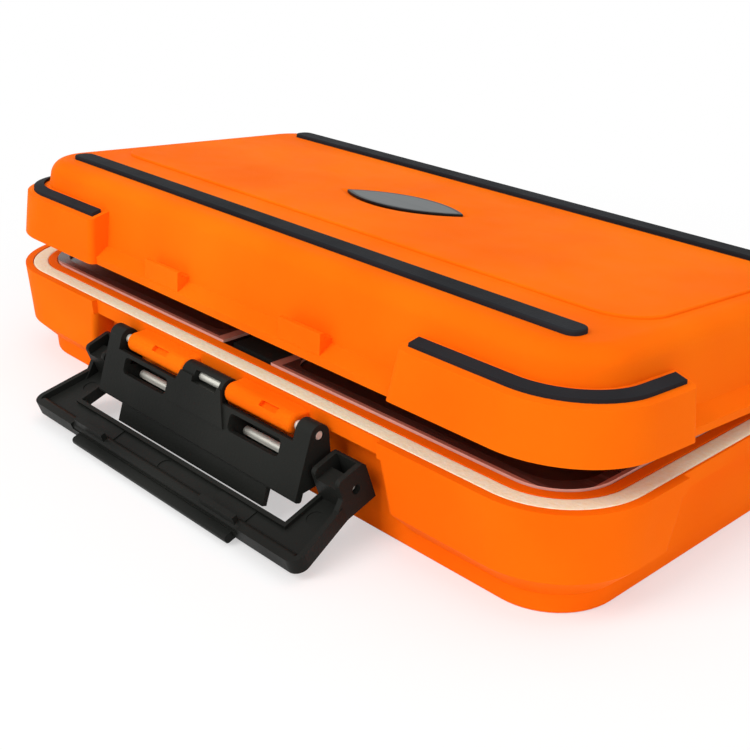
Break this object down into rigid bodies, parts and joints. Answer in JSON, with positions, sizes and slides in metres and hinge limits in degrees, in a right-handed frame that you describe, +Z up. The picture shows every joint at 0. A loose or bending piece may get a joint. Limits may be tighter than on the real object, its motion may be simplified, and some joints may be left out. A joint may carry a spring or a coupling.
{
  "type": "lure box",
  "caption": "Orange moulded tackle case, lid ajar on rear hinges, over-centre front latch folded down, sealed rim, smoky inner covers over divided cells.",
  "frame": {"origin": "centre of the base's flat resting face", "axes": "+Z up, +X along the length towards the right seen from the latch, -Y towards the latch"},
  "size_m": [0.195, 0.1328, 0.0518],
  "materials": {
    "orange_plastic": "satin moulded",
    "black_plastic": "fine grain",
    "smoky_plastic": "clear, smoky",
    "divider_plastic": "clear, smoky",
    "seal_rubber": "matt",
    "strip_rubber": "matt",
    "badge_metal": "brushed",
    "pin_steel": "bright drawn"
  },
  "bodies": {
    "base": {"base_shell": "orange_plastic", "rim_seal": "seal_rubber", "inner_cover_left": "smoky_plastic", "inner_cover_right": "smoky_plastic", "cover_spine": "black_plastic", "long_divider_left": "divider_plastic", "long_divider_right": "divider_plastic", "lever_pin": "pin_steel", "hinge_pin_left": "pin_steel", "hinge_pin_right": "pin_steel", "cross_divider_left_front_inner": "divider_plastic", "cross_divider_left_front_outer": "divider_plastic", "cross_divider_left_rear_inner": "divider_plastic", "cross_divider_left_rear_outer": "divider_plastic", "cross_divider_right_front_inner": "divider_plastic", "cross_divider_right_front_outer": "divider_plastic", "cross_divider_right_rear_inner": "divider_plastic", "cross_divider_right_rear_outer": "divider_plastic"},
    "lid": {"lid_shell": "orange_plastic", "lid_strip_front": "strip_rubber", "lid_strip_rear": "strip_rubber", "badge_plate": "badge_metal", "corner_strip_front_left": "strip_rubber", "corner_strip_front_right": "strip_rubber", "corner_strip_rear_left": "strip_rubber", "corner_strip_rear_right": "strip_rubber"},
    "lever": {"latch_lever": "black_plastic", "frame_pin": "pin_steel"},
    "frame": {"latch_frame": "black_plastic"}
  },
  "joints": [
    {"name": "lid_hinge", "type": "hinge", "parent": "base", "child": "lid", "pos_m": [0, 0.0557, 0.0245], "axis": [-1, 0, 0], "range_deg": [-4.5, 175.5]},
    {"name": "lever_hinge", "type": "hinge", "parent": "base", "child": "lever", "pos_m": [0, -0.0556, 0.021], "axis": [-1, 0, 0], "range_deg": [-14.41, 0]},
    {"name": "frame_hinge", "type": "hinge", "parent": "lever", "child": "frame", "pos_m": [0, -0.0548, 0.0128], "axis": [-1, 0, 0], "range_deg": [0, 131]}
  ],
  "couplings": [
    {"joint": "lever_hinge", "follows": "frame_hinge", "ratio": -0.11}
  ]
}
